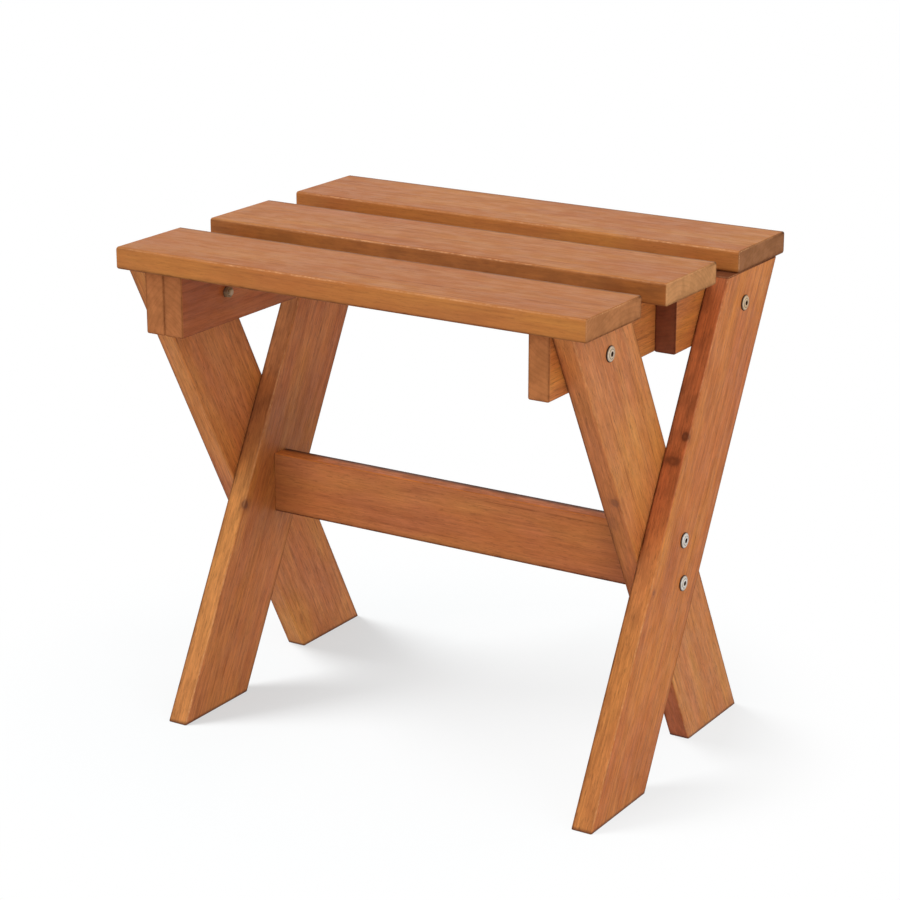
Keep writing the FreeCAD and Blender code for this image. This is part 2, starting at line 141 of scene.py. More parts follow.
def lay_over(tree, shade, coats):
    """Lay colours over a shade in turn, each where its mark shows and by its strength."""
    for mark, strength, over in coats:
        shade = tint(tree, times(tree, mark, strength), shade, over)
    return shade


def add_up(tree, total, marks):
    """Add marks to a number in turn, each by its strength."""
    for mark, strength in marks:
        total = reckon(tree, "MULTIPLY_ADD", mark, strength, total)
    return total


def cloud(tree, vector, stretch, seed, detail=2.0, roughness=0.5):
    """A noise whose lumps are one over the stretch long on each axis of the vector."""
    made = tree.nodes.new("ShaderNodeTexNoise")
    made.noise_dimensions = "4D"
    feed_all(tree, made, Vector=reckon_vector(tree, "MULTIPLY", vector, stretch), W=seed,
             Scale=1.0, Detail=detail, Roughness=roughness)
    return made


def grain_of(tree, value, scale, seed):
    """A noise along one number."""
    return put(tree, "TexNoise", {"noise_dimensions": "1D"}, Scale=scale, Detail=1.0,
               W=reckon(tree, "MULTIPLY_ADD", seed, 31.7, value))


NUMBER, VECTOR, COLOUR = "NodeSocketFloat", "NodeSocketVector", "NodeSocketColor"

# How many lumps of a mark go to a metre along the board, across it and through it.
DRIFT_LUMPS, WOBBLE_LUMPS = (2.4, 15, 15), (90, 160, 160)
BROKEN_LUMPS, CHIPPED_LUMPS = (90, 330, 330), (260, 800, 800)
MIDDLE_OF_NOISE = (0.5, 0.5, 0.5)


def start_group(name, takes, gives):
    """A shader node group with named inputs and outputs; gives the group and both ends inside it."""
    group = bpy.data.node_groups.new(name, "ShaderNodeTree")
    for socket, kind in takes.items():
        group.interface.new_socket(name=socket, in_out="INPUT", socket_type=kind)
    for socket, kind in gives.items():
        group.interface.new_socket(name=socket, in_out="OUTPUT", socket_type=kind)
    return group, group.nodes.new("NodeGroupInput").outputs, group.nodes.new("NodeGroupOutput").inputs


def place_group(tree, group, **sockets):
    """A group in a material or in another group; gives its outputs."""
    made = tree.nodes.new("ShaderNodeGroup")
    made.node_tree = group
    feed_all(tree, made, **sockets)
    return made.outputs


def growth_rings():
    """Year rings about the heart of the tree, which runs past the board at a slight lean."""
    tree, given, result = start_group("Growth rings", {
        "Board": VECTOR, "Heart": VECTOR, "Lean": VECTOR, "Ring width": NUMBER, "Wander": NUMBER,
        "Swell": NUMBER, "Seed": NUMBER}, {"Latewood": NUMBER, "Ring tone": NUMBER})
    drift = cloud(tree, given["Board"], DRIFT_LUMPS, given["Seed"]).outputs["Color"]
    drift = scaled(tree, reckon_vector(tree, "SUBTRACT", drift, MIDDLE_OF_NOISE), given["Wander"])
    wood = reckon_vector(tree, "ADD", given["Board"], drift)
    heart = reckon_vector(tree, "ADD", given["Heart"], scaled(tree, given["Lean"], axes_of(tree, wood)["X"]))
    across = reckon_vector(tree, "MULTIPLY", reckon_vector(tree, "SUBTRACT", wood, heart), (0, 1, 1))
    reach = reckon(tree, "ADD", reckon_vector(tree, "LENGTH", across, output="Value"), given["Swell"])
    years = reckon(tree, "DIVIDE", reach, given["Ring width"])
    years = reckon(tree, "MULTIPLY_ADD", grain_of(tree, years, 0.21, given["Seed"]), 3.2, years)
    season = reckon(tree, "FRACT", years)
    autumn = fade(tree, season, 0.35, 0.92)
    winter = fade(tree, season, 0.92, 1.0, 1.0, 0.0)
    feed(tree, result["Latewood"], times(tree, autumn, winter))
    feed(tree, result["Ring tone"], fade(tree, grain_of(tree, years, 0.7, given["Seed"]), 0.3, 0.7))
    return tree


def grain_marks(name, marks):
    """Noises along the grain, each with its lumps to a metre, detail, roughness and fading range."""
    tree, given, result = start_group(name, {"Board": VECTOR, "Seed": NUMBER},
                                      {mark: NUMBER for mark in marks})
    for mark, (lumps, detail, roughness, start, end) in marks.items():
        noise = cloud(tree, given["Board"], lumps, given["Seed"], detail, roughness).outputs[0]
        feed(tree, result[mark], fade(tree, noise, start, end))
    return tree


# Bands and streaks along the grain, fine threads, short dark flecks and a few long hairlines.
FIBRES = grain_marks("Fibres", {
    "Band": ((6, 52, 52), 2.0, 0.4, 0.3, 0.7), "Streak": ((9, 300, 300), 3.0, 0.6, 0.3, 0.7),
    "Thread": ((40, 600, 600), 3.0, 0.75, 0.25, 0.75), "Fleck": ((110, 900, 900), 2.0, 0.7, 0.54, 0.68),
    "Hairline": ((2.2, 420, 420), 1.0, 0.5, 0.65, 0.72)})
# The stain's uneven uptake: wide soft patches and smaller mottling.
BLOTCHES = grain_marks("Stain blotches", {
    "Patch": ((9, 26, 26), 2.0, 0.5, 0.32, 0.68), "Mottle": ((36, 85, 85), 4.0, 0.6, 0.3, 0.7)})

DAMP_RISE = 0.003
FACE_EDGE = 0.0003
END_SHARPNESS = 4.0


def arris_wear_and_shading():
    """The marks of a board's arrises, paler on the lit side as worn stain and a painted highlight, darker on
    the far side as gathered stain and painted shade, or nicked, and of its foot, ends and sides.
    """
    tree, given, result = start_group("Arris wear and shading", {
        "Board": VECTOR, "Half size": VECTOR, "To end": NUMBER, "Round": NUMBER, "Seam": NUMBER,
        "Worn side": VECTOR, "Seed": NUMBER}, {
        "Rub": NUMBER, "Gather": NUMBER, "Foot": NUMBER, "End": NUMBER, "Side": NUMBER, "Nick": NUMBER})
    off_middle = reckon_vector(tree, "ABSOLUTE", given["Board"])
    inset = axes_of(tree, reckon_vector(tree, "SUBTRACT", given["Half size"], off_middle))
    to_side, to_face, to_end = inset["Y"], inset["Z"], given["To end"]
    sharp_end = times(tree, to_end, END_SHARPNESS)
    nearer = reckon(tree, "MINIMUM", sharp_end, to_side)
    farther = reckon(tree, "MAXIMUM", sharp_end, to_side)
    to_arris = reckon(tree, "MAXIMUM", nearer, reckon(tree, "MINIMUM", farther, to_face))
    rounded = reckon(tree, "DIVIDE", to_arris, given["Round"])
    broken = cloud(tree, given["Board"], BROKEN_LUMPS, given["Seed"], 4.0, 0.7).outputs[0]
    share = reckon_vector(tree, "DIVIDE", given["Board"], given["Half size"])
    facing = reckon_vector(tree, "DOT_PRODUCT", share, given["Worn side"], output="Value")
    worn_and_lit = fade(tree, facing, 0.3, 0.7)
    edge = fade(tree, rounded, 0.35, 1.0, 1.0, 0.0)
    across_seam = reckon(tree, "DIVIDE", to_arris, given["Seam"])
    seam = reckon(tree, "ADD", fade(tree, across_seam, 0.4, 1.0, 0.65, 0.0),
                  fade(tree, across_seam, 0.3, 2.2, 0.35, 0.0))
    chipped = cloud(tree, given["Board"], CHIPPED_LUMPS, given["Seed"], 1.0).outputs[0]
    bare = reckon(tree, "ADD", fade(tree, broken, 0.36, 0.6, 0.0, 0.5),
                  fade(tree, chipped, 0.5, 0.62, 0.0, 0.5))
    # Rub: the lit arrises are paler, partly stain worn through and partly a painted highlight.
    feed(tree, result["Rub"], times(tree, times(tree, edge, bare), worn_and_lit))
    # Gather: the far arrises are darker, partly gathered stain and partly painted shade, fading a little way
    # in from the arris.
    gather_and_shade = times(tree, seam, fade(tree, broken, 0.32, 0.62, 1.0, 0.55))
    gather_and_shade = times(tree, gather_and_shade, fade(tree, facing, -0.75, -0.35, 0.3, 1.0))
    feed(tree, result["Gather"], times(tree, gather_and_shade, reckon(tree, "SUBTRACT", 1.0, worn_and_lit)))
    lower_half = reckon(tree, "LESS_THAN", axes_of(tree, given["Board"])["X"], 0.0)
    damp = reckon(tree, "MULTIPLY_ADD", broken, DAMP_RISE, DAMP_RISE)
    feed(tree, result["Foot"], times(tree, lower_half, fade(tree, to_end, 0.0008, damp, 1.0, 0.0)))
    feed(tree, result["End"], fade(tree, to_end, FACE_EDGE, 0.0014, 1.0, 0.0))
    feed(tree, result["Side"], fade(tree, to_side, FACE_EDGE, 0.0012, 1.0, 0.0))
    feed(tree, result["Nick"], times(tree, edge, broken))
    return tree


KNOT_SWELL = 0.006


def knot():
    """A branch cut through: a dark core, paler in its middle, and a reddish halo that swells the grain."""
    tree, given, result = start_group("Knot", {
        "Board": VECTOR, "Centre": VECTOR, "Reach": VECTOR, "Seed": NUMBER}, {
        "Core": NUMBER, "Halo": NUMBER, "Swell": NUMBER})
    wobble = cloud(tree, given["Board"], WOBBLE_LUMPS, given["Seed"], 2.0).outputs["Color"]
    wobble = scaled(tree, reckon_vector(tree, "SUBTRACT", wobble, MIDDLE_OF_NOISE), 1.1)
    away = reckon_vector(tree, "SUBTRACT", given["Board"], given["Centre"])
    away = reckon_vector(tree, "DIVIDE", away, given["Reach"])
    far = reckon_vector(tree, "LENGTH", reckon_vector(tree, "ADD", away, wobble), output="Value")
    heartwood = fade(tree, far, 0.1, 0.6, 0.75, 1.0)
    feed(tree, result["Core"], times(tree, heartwood, fade(tree, far, 0.7, 1.35, 1.0, 0.0)))
    feed(tree, result["Halo"], fade(tree, far, 0.5, 2.8, 1.0, 0.0))
    feed(tree, result["Swell"], fade(tree, far, 0.0, 3.4, KNOT_SWELL, 0.0))
    return tree


def stained_timber():
    """The honey stain over all that the wood shows: colour, gloss and relief."""
    tree, given, result = start_group("Stained timber", {
        "Board": VECTOR, "Half size": VECTOR, "To end": NUMBER, "Round": NUMBER, "Seam": NUMBER,
        "Worn side": VECTOR, "Heart": VECTOR, "Lean": VECTOR, "Ring width": NUMBER, "Wander": NUMBER,
        "Swell": NUMBER, "Knot core": NUMBER, "Knot halo": NUMBER, "Seed": NUMBER,
        "Honey": COLOUR, "Gold": COLOUR, "Blush": COLOUR, "Russet": COLOUR, "Dark grain": COLOUR,
        "Side tone": COLOUR, "End tone": COLOUR, "Figure": NUMBER, "Fibre": NUMBER, "Grain strength": NUMBER,
        "Side stain": NUMBER, "Side from": NUMBER, "Side to": NUMBER, "Rubbed": NUMBER, "Gathered": NUMBER,
        "Side bleach": NUMBER, "Foot stain": NUMBER}, {
        "Colour": COLOUR, "Roughness": NUMBER, "Height": NUMBER})
    shared = {name: given[name] for name in ("Board", "Seed")}
    rings = place_group(tree, RINGS, **shared, Heart=given["Heart"], Lean=given["Lean"],
                        Ring_width=given["Ring width"], Wander=given["Wander"], Swell=given["Swell"])
    grain = place_group(tree, FIBRES, **shared)
    stain = place_group(tree, BLOTCHES, **shared)
    wear_and_shading = place_group(tree, WEAR_AND_SHADING, **shared, Half_size=given["Half size"], To_end=given["To end"],
                       Round=given["Round"], Seam=given["Seam"], Worn_side=given["Worn side"])

    shade = tint(tree, grain["Band"], given["Honey"], given["Gold"])
    ring_tone = times(tree, rings["Ring tone"], given["Figure"])
    lines = times(tree, rings["Latewood"], fade(tree, stain["Patch"], 0.0, 1.0, 0.35, 1.0))
    lines = times(tree, lines, fade(tree, grain["Streak"], 0.2, 0.8, 0.2, 1.0))
    hairline = times(tree, grain["Hairline"], fade(tree, stain["Mottle"], 0.2, 0.8, 0.08, 0.44))
    shade = lay_over(tree, shade, [
        (stain["Patch"], 0.6, given["Blush"]), (stain["Mottle"], 0.20, given["Russet"]),
        (ring_tone, 0.16, given["Russet"]), (lines, given["Grain strength"], given["Dark grain"]),
        (hairline, 1.0, given["Dark grain"])])
    streak = times(tree, reckon(tree, "SUBTRACT", 0.5, grain["Streak"]), given["Figure"])
    fibre = add_up(tree, 0.165, [(grain["Thread"], -0.34), (grain["Fleck"], -0.24)])
    gain = add_up(tree, 1.0, [(streak, 0.12), (fibre, given["Fibre"])])
    shade = brighten(tree, shade, gain)

    along = axes_of(tree, given["Board"])["X"]
    # The narrow sides darken between Side from and Side to, with stain and, on some boards, with painted
    # shade.
    side = times(tree, wear_and_shading["Side"], fade(tree, along, given["Side from"], given["Side to"]))
    side_gain = times(tree, gain, fade(tree, stain["Mottle"], 0.0, 1.0, 1.18, 0.80))
    end_tone = brighten(tree, given["End tone"], fade(tree, stain["Mottle"], 0.0, 1.0, 1.10, 0.87))
    end_tone = brighten(tree, end_tone, fade(tree, rings["Latewood"], 0.0, 1.0, 1.02, 0.93))
    # Painted highlight with wear: the lit arrises are paler.
    rub_and_highlight = times(tree, wear_and_shading["Rub"], fade(tree, stain["Patch"], 0.15, 0.75, 0.4, 1.0))
    # Painted shade with gathered stain: the far arrises are darker.
    shade = lay_over(tree, shade, [
        (wear_and_shading["Side"], given["Side bleach"], brighten(tree, BLEACHED, side_gain)),
        (side, given["Side stain"], brighten(tree, given["Side tone"], side_gain)),
        (given["Knot halo"], 0.5, KNOT_HALO), (given["Knot core"], 0.7, KNOT_CORE),
        (wear_and_shading["End"], 0.9, end_tone), (rub_and_highlight, given["Rubbed"], RUBBED_AND_HIGHLIT),
        (wear_and_shading["Gather"], given["Gathered"], GATHERED_AND_SHADED), (wear_and_shading["Foot"], given["Foot stain"], GATHERED_AND_SHADED)])
    feed(tree, result["Colour"], shade)

    gloss = fade(tree, stain["Mottle"], 0.0, 1.0, 0.42, 0.54)
    feed(tree, result["Roughness"], add_up(tree, gloss, [
        (grain["Streak"], 0.05), (wear_and_shading["End"], 0.22), (wear_and_shading["Gather"], 0.35), (given["Knot core"], -0.10)]))
    feed(tree, result["Height"], add_up(tree, 0.0, [
        (grain["Thread"], 0.30), (rings["Latewood"], 0.35), (grain["Streak"], 0.25), (grain["Fleck"], -0.45),
        (wear_and_shading["Nick"], -0.4), (given["Knot core"], 0.5)]))
    return tree


KNOT_HALO = colour(132, 66, 34)
KNOT_CORE = colour(84, 42, 22)
# The pale of the lit arrises: worn stain and a painted highlight together.
RUBBED_AND_HIGHLIT = colour(229, 168, 116)
BLEACHED = colour(206, 140, 74)
# Dark brown of stain gathered at the far arrises and at the foot. On those arrises it is also painted shade.
GATHERED_AND_SHADED = colour(68, 28, 11)
RINGS, WEAR_AND_SHADING, KNOT = growth_rings(), arris_wear_and_shading(), knot()
TIMBER = stained_timber()

PILE = {"Honey": colour(195, 116, 55), "Gold": colour(209, 136, 63), "Blush": colour(190, 111, 70),
        "Russet": colour(164, 84, 42), "Dark_grain": colour(120, 57, 27),
        "Side_tone": colour(168, 85, 46), "End_tone": colour(177, 109, 62),
        "Ring_width": 0.0046, "Wander": 0.012, "Figure": 1.0, "Fibre": 1.25, "Grain_strength": 0.32,
        "Round": 0.002, "Seam": 0.0032, "Side_bleach": 0.0, "Side_stain": 0.0, "Side_from": -2.0,
        "Side_to": -1.0, "Worn_side": (0, 0, 0), "Rubbed": 0.5, "Gathered": 0.84, "Foot_stain": 0.0}
GRAIN_RELIEF = 0.0004
SATIN = 0.18


def stain_board(name, turn, half_size, saw_axis, seed, heart, lean, knots=(), dark=(), butted=0.0, **own):
    """Give a board its own piece of wood, its grain along the turned X axis, its ends square to saw_axis.

    knots are branches cut through; dark lists spots where the wood is darker, painted shade at joints and
    beside other parts and darker lines along back arrises, with how far and how deep; butted is how far the
    ends are taken to go on, where they meet another board and have no arris of their own to show.
    """
    low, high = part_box(name)
    middle = (low + high) / 2
    finish = bpy.data.materials.new("stained_" + name)
    finish.use_nodes = True
    tree = finish.node_tree
    shader = tree.nodes["Principled BSDF"]
    place = tree.nodes.new("ShaderNodeTexCoord").outputs["Object"]
    board = put(tree, "Mapping", {"vector_type": "TEXTURE"}, Vector=place, Location=middle, Rotation=turn)
    sawn = axes_of(tree, reckon_vector(tree, "SUBTRACT", place, middle))[saw_axis]
    half_length = (high - low)["XYZ".index(saw_axis)] / 2
    to_end = reckon(tree, "SUBTRACT", half_length + butted, reckon(tree, "ABSOLUTE", sawn))
    core, halo, swell = 0.0, 0.0, 0.0
    for centre, reach, darkness in knots:
        branch = place_group(tree, KNOT, Board=board, Centre=centre, Reach=reach, Seed=seed)
        core = reckon(tree, "MAXIMUM", core, times(tree, branch["Core"], darkness))
        halo = reckon(tree, "MAXIMUM", halo, times(tree, branch["Halo"], darkness))
        swell = reckon(tree, "MAXIMUM", swell, branch["Swell"])
    wood = place_group(tree, TIMBER, **{**PILE, **own}, Board=board, Half_size=half_size, To_end=to_end,
                       Heart=heart, Lean=lean, Swell=swell, Knot_core=core, Knot_halo=halo, Seed=seed)
    shade = wood["Colour"]
    # Painted shade and stain: the wood is darker about each listed spot.
    for centre, reach, depth in dark:
        away = reckon_vector(tree, "DIVIDE", reckon_vector(tree, "SUBTRACT", board, centre), reach)
        far = reckon_vector(tree, "LENGTH", away, output="Value")
        shade = brighten(tree, shade, fade(tree, far, 0.2, 1.0, depth, 1.0))
    relief = put(tree, "Bump", Strength=0.35, Distance=GRAIN_RELIEF, Height=wood["Height"])
    feed_all(tree, shader, Base_Color=shade, Roughness=wood["Roughness"], Normal=relief,
             Specular_IOR_Level=SATIN)
    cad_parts[name].data.materials.clear()
    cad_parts[name].data.materials.append(finish)


def half_of(name, order):
    """Half a board's size along the axes in order, from its box."""
    low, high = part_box(name)
    return [(high - low)["XYZ".index(axis)] / 2 for axis in order]


def stain_square(name, turn, order, seed, **wood):
    """A board square to the frame, whose grain, width and thickness run along the axes in order."""
    stain_board(name, turn, half_of(name, order), order[0], seed, **wood)


ALONG_DEPTH = Euler((pi / 2, 0, pi / 2))
stain_square("right_bearer", ALONG_DEPTH, "YZX", seed=11.3,
             heart=(0, 0.05, 0.03), lean=(0, 0.03, 0.05), Seam=0.0017, Gathered=0.6)
# The left bearer is coloured darker than the right one as painted shade, since its face lies under the
# planks.
stain_square("left_bearer", ALONG_DEPTH, "YZX", seed=4.7,
             heart=(0, -0.06, -0.04), lean=(0, 0.02, -0.04),
             Honey=colour(168, 91, 46), Gold=colour(178, 103, 51), Blush=colour(165, 90, 55), Fibre=0.8,
             Seam=0.0017, Gathered=0.6)


# Spacers: half-length offcuts of the same board, in the layer between a bearer and an outer leg.
# One bolt through leg, spacer and bearer holds each of them, so their ends show beside the bearers' ends.

# Its end tone is darker than end grain alone, as painted shade: the end lies in shadow between the bearer
# and the leg.
stain_square("right_spacer", ALONG_DEPTH, "YZX", seed=7.9,
             heart=(0, 0.07, -0.02), lean=(0, -0.02, 0.03),
             Honey=colour(184, 109, 44), Gold=colour(198, 125, 50), End_tone=colour(122, 64, 42),
             Seam=0.0017, Gathered=0.65)
stain_square("left_spacer", ALONG_DEPTH, "YZX", seed=2.2,
             heart=(0, -0.04, 0.06), lean=(0, 0.03, 0.02), Seam=0.0017, Gathered=0.6)


# Legs: four boards sawn level at head and foot, crossed in pairs as a flat X and bolted face to face.
# The grain runs up the leg. Most narrow sides are darker with stain. On two of them the darkening towards
# the head is partly painted shade under the planks, and those two are pale towards the foot. Knots show.

LEG_HALF_WIDTH = 0.04725
LEG_TILT = radians(27.941)
LEG_END = colour(104, 54, 28)


def stain_leg(name, lean_back, seed, rubbed_and_highlit, **wood):
    """A leg leans back to its head or forward to it; its wood follows the lean."""
    low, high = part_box(name)
    upright = pi / 2 - LEG_TILT if lean_back else pi / 2 + LEG_TILT
    turn = (Matrix.Rotation(upright, 3, "X") @ ALONG_DEPTH.to_matrix()).to_euler()
    half_size = ((high.z - low.z) / 2 / cos(LEG_TILT), LEG_HALF_WIDTH, (high.x - low.x) / 2)
    stain_board(name, turn, half_size, "Z", seed, Worn_side=(0.15, 0.5, 0.5), Rubbed=rubbed_and_highlit,
                End_tone=LEG_END, Foot_stain=0.75, **wood)


stain_leg("right_outer_leg", lean_back=True, seed=3.1, rubbed_and_highlit=0.45,
          heart=(0, 0.02, -0.07), lean=(0, 0.05, 0.03),
          Honey=colour(198, 114, 50), Gold=colour(210, 131, 57), Blush=colour(193, 107, 60),
          # Its narrow side darkens towards the head, partly from stain and partly as painted shade under the
          # planks.
          Side_bleach=0.35, Side_stain=0.72, Side_tone=colour(178, 90, 52), Side_from=-0.10, Side_to=0.04,
          knots=[((0.0876, 0.0472, 0.0072), (0.0045, 0.005, 0.0042), 1.0),
                 ((0.0629, 0.0472, 0.0003), (0.0044, 0.005, 0.0070), 0.75),
                 ((-0.0627, 0.0412, 0.011), (0.0025, 0.002, 0.02), 0.6)])
stain_leg("right_inner_leg", lean_back=False, seed=8.6, rubbed_and_highlit=0.4,
          heart=(0, -0.01, -0.09), lean=(0, 0.06, 0.02), Grain_strength=0.14, Figure=0.7,
          Honey=colour(202, 125, 62), Gold=colour(214, 143, 70), Blush=colour(197, 119, 76),
          Side_stain=0.9, Side_tone=colour(160, 73, 32), Side_from=0.5, Side_to=-0.35,
          knots=[((0.0891, 0.0473, 0.005), (0.005, 0.005, 0.004), 0.6),
                 ((0.0605, 0.0473, -0.0038), (0.009, 0.005, 0.005), 0.3)])
stain_leg("left_outer_leg", lean_back=False, seed=5.4, rubbed_and_highlit=0.3,
          heart=(0, 0.03, -0.06), lean=(0, -0.04, 0.03), Grain_strength=0.24,
          Honey=colour(198, 120, 60), Gold=colour(212, 140, 68), Blush=colour(194, 116, 75),
          knots=[((-0.212, 0.0345, 0.011), (0.005, 0.0018, 0.012), 0.3)])
stain_leg("left_inner_leg", lean_back=True, seed=1.8, rubbed_and_highlit=0.6,
          heart=(0, -0.03, -0.08), lean=(0, 0.04, 0.04), Grain_strength=0.22,
          # Its narrow side darkens towards the head, partly from stain and partly as painted shade beside
          # the outer leg.
          Side_bleach=0.55, Side_stain=0.55, Side_tone=colour(159, 90, 56), Side_from=-0.06, Side_to=0.03,
          knots=[((-0.0615, 0.0472, 0.0115), (0.005, 0.006, 0.0035), 0.9)],
          # Painted shade round the stretcher's end, and on the narrow side beside the outer leg.
          dark=[((0.005, 0, 0.011), (0.13, 0.08, 0.04), 0.70),
                ((0.03, LEG_HALF_WIDTH, 0), (0.075, 0.03, 0.03), 0.84)])


# Leg bolts: zinc-plated steel bolts with a low dome and a hexagon socket, one through the head of each leg.
# They are turned, the socket is pressed in, and the thread is rolled on the end that takes the nut.

ROUND = 48
THREAD_STEPS, LEAD_IN, SPARE_TURNS = 24, 1.5, 3
WELD, CUT_TOLERANCE = 1e-6, 1e-7
HEAD_REACH, HEAD_RISE, RIM_RISE = 0.00775, 0.0028, 0.0013
SOCKET_FLATS, SOCKET_DEPTH, SOCKET_LIP = 0.004, 0.0020, 0.0027
GROOVE_REACH, GROOVE_WIDTH, GROOVE_DEPTH = 0.0046, 0.0006, 0.0002
SHANK_REACH, THREAD_ROOT, THREAD_PITCH = 0.003, 0.00245, 0.001
HEAD_SEAT, HEAD_EDGE, THREAD_RUN_OUT, THREAD_OVERLAP = 0.0074, 0.0004, 0.0006, 0.0002
SOCKET_LAND, SOCKET_CHAMFER = 0.0034, 0.0003
DOME_RINGS = (0.0058, 0.0066, 0.0072)
RIM_ROUND = ((0.0002, 0.0), (0.00005, 0.0002), (0.0, 0.0005))
NUT_THREAD = 0.022
SHARP_EDGE = radians(32)


def take_up(pieces):
    """Select these pieces and no others, with the first of them active."""
    bpy.ops.object.select_all(action="DESELECT")
    for piece in reversed(pieces):
        piece.select_set(True)
        bpy.context.view_layer.objects.active = piece


def draw_out(rings):
    """Draw the selected ring through pairs of radius and height, as a tool does on a lathe."""
    for (reach, rise), (next_reach, next_rise) in zip(rings, rings[1:]):
        bpy.ops.mesh.extrude_edges_move(TRANSFORM_OT_translate={"value": (0, 0, next_rise - rise)})
        grow = next_reach / reach
        bpy.ops.transform.resize(value=(grow, grow, 1), center_override=(0, 0, next_rise))


def start_turning(name, rings, corners=ROUND):
    """A ring of metal drawn out along Z and left open in edit mode, with its last ring selected."""
    take_up([])
    bpy.ops.mesh.primitive_circle_add(vertices=corners, radius=rings[0][0], location=(0, 0, rings[0][1]))
    piece = bpy.context.object
    piece.name = name
    bpy.ops.object.transform_apply()
    bpy.ops.object.mode_set(mode="EDIT")
    bpy.ops.mesh.select_mode(type="EDGE")
    bpy.ops.mesh.select_all(action="SELECT")
    draw_out(rings)
    return piece


def face_outward():
    """Turn all faces of the piece in edit mode outwards and leave edit mode."""
    bpy.ops.mesh.select_all(action="SELECT")
    bpy.ops.mesh.normals_make_consistent(inside=False)
    bpy.ops.object.mode_set(mode="OBJECT")


def close_openings(joined):
    """Join a piece's two open rings with a wall, or close each of them with a flat face."""
    bpy.ops.mesh.select_all(action="DESELECT")
    bpy.ops.mesh.select_non_manifold()
    if joined:
        bpy.ops.mesh.bridge_edge_loops()
    else:
        bpy.ops.mesh.fill_holes(sides=0)
    face_outward()


def roll_thread(name, root, crest, pitch, top, bottom):
    """A threaded rod along Z: the outline of one turn swept along a helix and cut square at both ends."""
    flat, flank = 0.12 * pitch, 0.32 * pitch
    take_up([])
    bpy.ops.mesh.primitive_circle_add(vertices=3, radius=root)
    rod = bpy.context.object
    rod.name = name
    bpy.ops.object.mode_set(mode="EDIT")
    bpy.ops.mesh.select_mode(type="VERT")
    bpy.ops.mesh.select_all(action="SELECT")
    bpy.ops.mesh.merge(type="CENTER")
    bpy.ops.transform.translate(value=(root, 0, bottom - LEAD_IN * pitch))
    for outward, upward in ((0, flat), (crest - root, flank), (0, flat), (root - crest, flank), (0, flat)):
        bpy.ops.mesh.extrude_region_move(TRANSFORM_OT_translate={"value": (outward, 0, upward)})
    bpy.ops.object.mode_set(mode="OBJECT")
    helix = rod.modifiers.new("helix", "SCREW")
    helix.axis = "Z"
    helix.steps = helix.render_steps = THREAD_STEPS
    helix.iterations = int((top - bottom) / pitch) + SPARE_TURNS
    helix.screw_offset = pitch
    bpy.ops.object.modifier_apply(modifier=helix.name)
    bpy.ops.object.mode_set(mode="EDIT")
    bpy.ops.mesh.select_all(action="SELECT")
    bpy.ops.mesh.remove_doubles(threshold=WELD)
    for height, way in ((top, 1), (bottom, -1)):
        bpy.ops.mesh.select_all(action="SELECT")
        bpy.ops.mesh.bisect(plane_co=(0, 0, height), plane_no=(0, 0, way), use_fill=True, clear_outer=True,
                            threshold=CUT_TOLERANCE)
    face_outward()
    return rod


def join(pieces):
    """Make one piece of several, under the first one's name, smooth but for its sharp edges."""
    take_up(pieces)
    if len(pieces) > 1:
        bpy.ops.object.join()
    bpy.ops.object.shade_smooth_by_angle(angle=SHARP_EDGE)
    return pieces[0]


def crown(reach, sink=0.0):
    """A point of the low dome at a distance from the axis, sunk by a little in a groove."""
    drop = HEAD_RISE - RIM_RISE
    curve = (HEAD_REACH ** 2 + drop ** 2) / (2 * drop)
    return reach, HEAD_RISE - curve + sqrt(curve ** 2 - reach ** 2) - sink


def make_bolt(name, length, thread):
    """A bolt along Z with its head up and the underside of the head at height 0."""
    plain = length - thread
    groove_in, groove_out = GROOVE_REACH - GROOVE_WIDTH / 2, GROOVE_REACH + GROOVE_WIDTH / 2
    slope = GROOVE_WIDTH / 4
    bolt = start_turning(name, [
        crown(SOCKET_LIP), crown(SOCKET_LAND),
        crown(groove_in), crown(groove_in + slope, GROOVE_DEPTH), crown(groove_out - slope, GROOVE_DEPTH),
        crown(groove_out), *[crown(reach) for reach in DOME_RINGS],
        *[(HEAD_REACH - inward, RIM_RISE - down) for inward, down in RIM_ROUND],
        (HEAD_REACH, HEAD_EDGE), (HEAD_SEAT, 0.0), (SHANK_REACH + HEAD_EDGE, 0.0), (SHANK_REACH, -HEAD_EDGE),
        (SHANK_REACH, -plain), (THREAD_ROOT, -plain - THREAD_RUN_OUT)])
    bpy.ops.mesh.edge_face_add()
    lip_rise = crown(SOCKET_LIP)[1] - SOCKET_CHAMFER
    bpy.ops.mesh.primitive_circle_add(vertices=6, radius=SOCKET_FLATS / sqrt(3), location=(0, 0, lip_rise))
    bpy.ops.mesh.subdivide(number_cuts=ROUND // 6 - 1)
    bpy.ops.mesh.extrude_edges_move(TRANSFORM_OT_translate={"value": (0, 0, -SOCKET_DEPTH)})
    bpy.ops.mesh.edge_face_add()
    close_openings(joined=True)
    rod = roll_thread("thread", THREAD_ROOT, SHANK_REACH, THREAD_PITCH, -plain - THREAD_OVERLAP, -length)
    return join([bolt, rod])


TURNING_MARKS = 4200.0
BLOOM_LUMPS, SPANGLE_LUMPS = (330, 330, 330), (1600, 1600, 1600)
PLATING_RELIEF = 0.00005


def from_axis(tree, own):
    """How far a spot of a turned piece lies from its own Z axis."""
    return reckon_vector(tree, "LENGTH", reckon_vector(tree, "MULTIPLY", own, (1, 1, 0)), output="Value")


